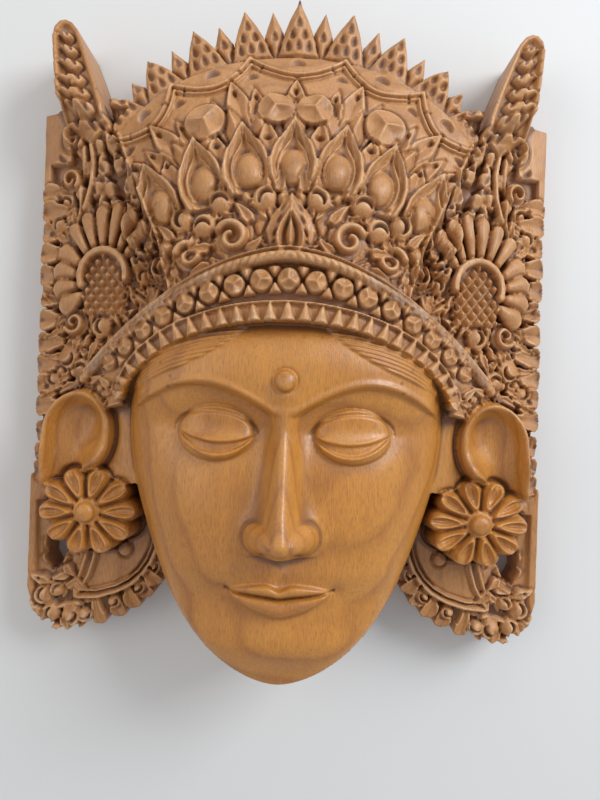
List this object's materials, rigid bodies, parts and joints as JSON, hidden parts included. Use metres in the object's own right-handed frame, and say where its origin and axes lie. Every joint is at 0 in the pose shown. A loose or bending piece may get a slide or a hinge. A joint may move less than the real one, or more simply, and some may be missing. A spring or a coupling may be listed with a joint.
{
  "type": "wall mask",
  "caption": "Carved wooden Balinese wall mask with a calm face, domed fan crown, two horns, beaded headband, flower earrings and a hollow back.",
  "frame": {"origin": "middle of the flat back, under the centre of the mask's outline, where the back lies on a surface", "axes": "+Z out of the face, square to the flat back; +Y from the chin up to the top of the crown; +X to the viewer's right"},
  "size_m": [0.244, 0.3032, 0.0898],
  "materials": {
    "carved_wood": "satin varnished honey-brown carved hardwood, duller and dusty in the crown's recesses"
  },
  "bodies": {
    "root": {"carved_mask": "carved_wood"}
  },
  "joints": []
}
